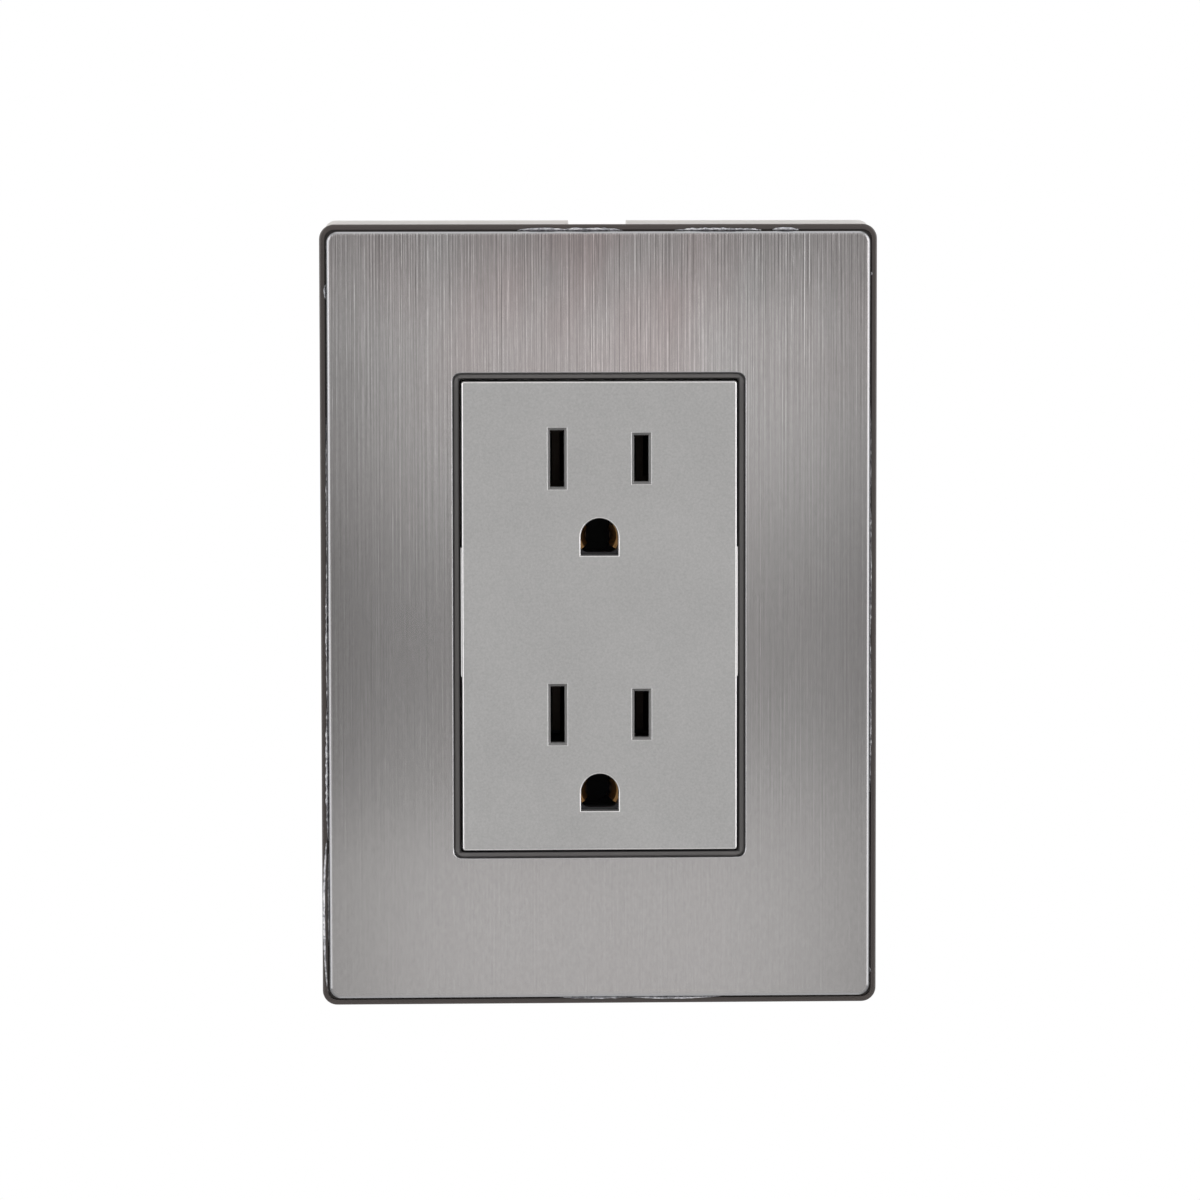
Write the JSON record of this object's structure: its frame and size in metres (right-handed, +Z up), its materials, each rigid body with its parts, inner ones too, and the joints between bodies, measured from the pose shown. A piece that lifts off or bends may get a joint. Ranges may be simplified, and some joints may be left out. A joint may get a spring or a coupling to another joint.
{
  "type": "wall plate cover",
  "caption": "Mains outlet with a press-on brushed steel cover plate in a dark carrier frame, on a pale bracket that screws to a wall box.",
  "frame": {"origin": "on the wall surface, at the rear of the mounting bracket, midway between the two box screws", "axes": "+X right and +Z up as seen from the room, +Y into the wall"},
  "size_m": [0.084, 0.0273, 0.1186],
  "materials": {
    "steel": "satin, fine vertical brush lines",
    "carrier_plastic": "satin dark bronze",
    "bracket_plastic": "satin cream",
    "face_plastic": "fine silver-grey texture",
    "housing_plastic": "satin black",
    "brass": "rolled and stamped",
    "plated_steel": "zinc plated",
    "green_screw": "green passivated",
    "tape": "double-sided tape",
    "film": "clear protective film, trimmed"
  },
  "bodies": {
    "bracket": {"mounting_bracket": "bracket_plastic", "outlet_face": "face_plastic", "contact_deck": "housing_plastic", "outlet_body": "housing_plastic", "hot_busbar": "brass", "neutral_busbar": "brass", "earth_busbar": "brass", "housing_screws": "plated_steel"},
    "cover": {"steel_face_panel": "steel", "carrier_frame": "carrier_plastic", "adhesive_strips": "tape", "protective_film_edge": "film"},
    "hot_upper_clamp": {"hot_upper_clamp": "plated_steel"},
    "hot_upper_screw": {"hot_upper_screw": "brass"},
    "hot_lower_clamp": {"hot_lower_clamp": "plated_steel"},
    "hot_lower_screw": {"hot_lower_screw": "brass"},
    "neutral_upper_clamp": {"neutral_upper_clamp": "plated_steel"},
    "neutral_upper_screw": {"neutral_upper_screw": "plated_steel"},
    "neutral_lower_clamp": {"neutral_lower_clamp": "plated_steel"},
    "neutral_lower_screw": {"neutral_lower_screw": "plated_steel"},
    "earth_clamp": {"earth_clamp": "plated_steel"},
    "earth_screw": {"earth_screw": "green_screw"},
    "upper_box_washer": {"upper_box_washer": "plated_steel"},
    "upper_box_screw": {"upper_box_screw": "plated_steel"},
    "lower_box_washer": {"lower_box_washer": "plated_steel"},
    "lower_box_screw": {"lower_box_screw": "plated_steel"}
  },
  "joints": [
    {"name": "cover_slide", "type": "slide", "parent": "bracket", "child": "cover", "axis": [0, -1, 0], "range_m": [0, 0.02]},
    {"name": "hot_upper_clamp_slide", "type": "slide", "parent": "bracket", "child": "hot_upper_clamp", "axis": [0, 1, 0], "range_m": [0, 0.00219]},
    {"name": "hot_upper_screw_turn", "type": "hinge", "parent": "hot_upper_clamp", "child": "hot_upper_screw", "pos_m": [0.013, 0, 0.017], "axis": [0, 1, 0], "range_deg": [0, 995]},
    {"name": "hot_lower_clamp_slide", "type": "slide", "parent": "bracket", "child": "hot_lower_clamp", "axis": [0, 1, 0], "range_m": [0, 0.00219]},
    {"name": "hot_lower_screw_turn", "type": "hinge", "parent": "hot_lower_clamp", "child": "hot_lower_screw", "pos_m": [0.013, 0, -0.008], "axis": [0, 1, 0], "range_deg": [0, 995]},
    {"name": "neutral_upper_clamp_slide", "type": "slide", "parent": "bracket", "child": "neutral_upper_clamp", "axis": [0, 1, 0], "range_m": [0, 0.00219]},
    {"name": "neutral_upper_screw_turn", "type": "hinge", "parent": "neutral_upper_clamp", "child": "neutral_upper_screw", "pos_m": [-0.013, 0, 0.017], "axis": [0, 1, 0], "range_deg": [0, 995]},
    {"name": "neutral_lower_clamp_slide", "type": "slide", "parent": "bracket", "child": "neutral_lower_clamp", "axis": [0, 1, 0], "range_m": [0, 0.00219]},
    {"name": "neutral_lower_screw_turn", "type": "hinge", "parent": "neutral_lower_clamp", "child": "neutral_lower_screw", "pos_m": [-0.013, 0, -0.008], "axis": [0, 1, 0], "range_deg": [0, 995]},
    {"name": "earth_clamp_slide", "type": "slide", "parent": "bracket", "child": "earth_clamp", "axis": [0, 1, 0], "range_m": [0, 0.00219]},
    {"name": "earth_screw_turn", "type": "hinge", "parent": "earth_clamp", "child": "earth_screw", "pos_m": [0, 0, -0.0074], "axis": [0, 1, 0], "range_deg": [0, 995]},
    {"name": "upper_box_washer_slide", "type": "slide", "parent": "bracket", "child": "upper_box_washer", "axis": [0, -1, 0], "range_m": [0, 0.00219]},
    {"name": "upper_box_screw_turn", "type": "hinge", "parent": "upper_box_washer", "child": "upper_box_screw", "pos_m": [0, 0, 0.04165], "axis": [0, -1, 0], "range_deg": [0, 995]},
    {"name": "lower_box_washer_slide", "type": "slide", "parent": "bracket", "child": "lower_box_washer", "axis": [0, -1, 0], "range_m": [0, 0.00219]},
    {"name": "lower_box_screw_turn", "type": "hinge", "parent": "lower_box_washer", "child": "lower_box_screw", "pos_m": [0, 0, -0.04165], "axis": [0, -1, 0], "range_deg": [0, 995]}
  ],
  "couplings": [
    {"joint": "hot_upper_screw_turn", "follows": "hot_upper_clamp_slide", "rad_per_m": 7915.8},
    {"joint": "hot_lower_screw_turn", "follows": "hot_lower_clamp_slide", "rad_per_m": 7915.8},
    {"joint": "neutral_upper_screw_turn", "follows": "neutral_upper_clamp_slide", "rad_per_m": 7915.8},
    {"joint": "neutral_lower_screw_turn", "follows": "neutral_lower_clamp_slide", "rad_per_m": 7915.8},
    {"joint": "earth_screw_turn", "follows": "earth_clamp_slide", "rad_per_m": 7915.8},
    {"joint": "upper_box_screw_turn", "follows": "upper_box_washer_slide", "rad_per_m": 7915.8},
    {"joint": "lower_box_screw_turn", "follows": "lower_box_washer_slide", "rad_per_m": 7915.8}
  ]
}
